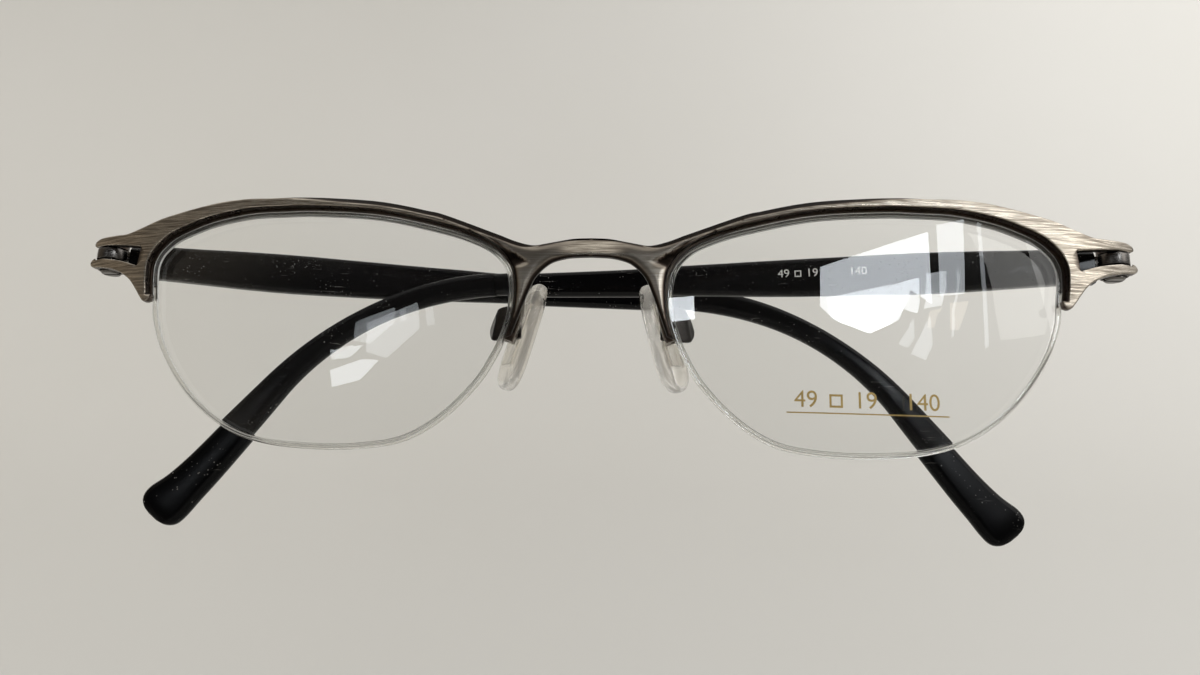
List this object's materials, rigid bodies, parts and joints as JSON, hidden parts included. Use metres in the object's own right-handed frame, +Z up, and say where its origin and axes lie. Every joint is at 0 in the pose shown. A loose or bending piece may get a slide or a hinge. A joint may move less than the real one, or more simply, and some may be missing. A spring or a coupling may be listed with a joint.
{
  "type": "semi-rimless eyeglasses",
  "caption": "Semi-rimless eyeglasses with a brushed metal brow, forked hinges, cord-held lenses and folded black temples.",
  "frame": {"origin": "under the middle of the folded glasses' box, level with the lowest points of the temple tips", "axes": "+Z up as the glasses are worn, +X towards the wearer's left, -Y out of the lenses' front"},
  "size_m": [0.1386, 0.0224, 0.0419],
  "materials": {
    "front": "brushed steel with an antique bronze tone",
    "rim_wire": "black plating, satin",
    "nylon": "clear nylon",
    "lens": "clear plastic lens, polished",
    "dark_steel": "blackened steel",
    "temple_lacquer": "black lacquer, glossy",
    "tip_plastic": "black plastic, polished",
    "pad_silicone": "clear soft silicone, slightly yellowed",
    "pad_core": "translucent stiff plastic"
  },
  "bodies": {
    "front": {"front_frame": "front", "rim_channel_left": "rim_wire", "rim_liner_left": "nylon", "lens_left": "lens", "lens_cord_left": "nylon", "hinge_screw_left": "dark_steel", "hinge_washer_upper_left": "dark_steel", "hinge_washer_lower_left": "dark_steel", "pad_arm_left": "rim_wire", "pad_box_left": "rim_wire", "pad_screw_left": "dark_steel", "rim_channel_right": "rim_wire", "rim_liner_right": "nylon", "lens_right": "lens", "lens_cord_right": "nylon", "hinge_screw_right": "dark_steel", "hinge_washer_upper_right": "dark_steel", "hinge_washer_lower_right": "dark_steel", "pad_arm_right": "rim_wire", "pad_box_right": "rim_wire", "pad_screw_right": "dark_steel"},
    "temple_left_arm": {"temple_left": "temple_lacquer", "temple_tip_left": "tip_plastic", "temple_hinge_left": "dark_steel"},
    "nose_pad_left_body": {"nose_pad_left": "pad_silicone", "pad_core_left": "pad_core"},
    "temple_right_arm": {"temple_right": "temple_lacquer", "temple_tip_right": "tip_plastic", "temple_hinge_right": "dark_steel"},
    "nose_pad_right_body": {"nose_pad_right": "pad_silicone", "pad_core_right": "pad_core"}
  },
  "joints": [
    {"name": "temple_left_hinge", "type": "hinge", "parent": "front", "child": "temple_left_arm", "pos_m": [0.0665, -0.00125, 0.03596], "axis": [0, 0, -1], "range_deg": [0, 90]},
    {"name": "temple_right_hinge", "type": "hinge", "parent": "front", "child": "temple_right_arm", "pos_m": [-0.0665, -0.00125, 0.03596], "axis": [0, 0, 1], "range_deg": [0, 85]},
    {"name": "nose_pad_left_rock", "type": "hinge", "parent": "front", "child": "nose_pad_left_body", "pos_m": [0.01081, -0.00466, 0.02525], "axis": [0.4536, 0.8822, 0.1267], "range_deg": [-8, 8]},
    {"name": "nose_pad_right_rock", "type": "hinge", "parent": "front", "child": "nose_pad_right_body", "pos_m": [-0.01081, -0.00466, 0.02525], "axis": [-0.4536, 0.8822, 0.1267], "range_deg": [-8, 8]}
  ]
}
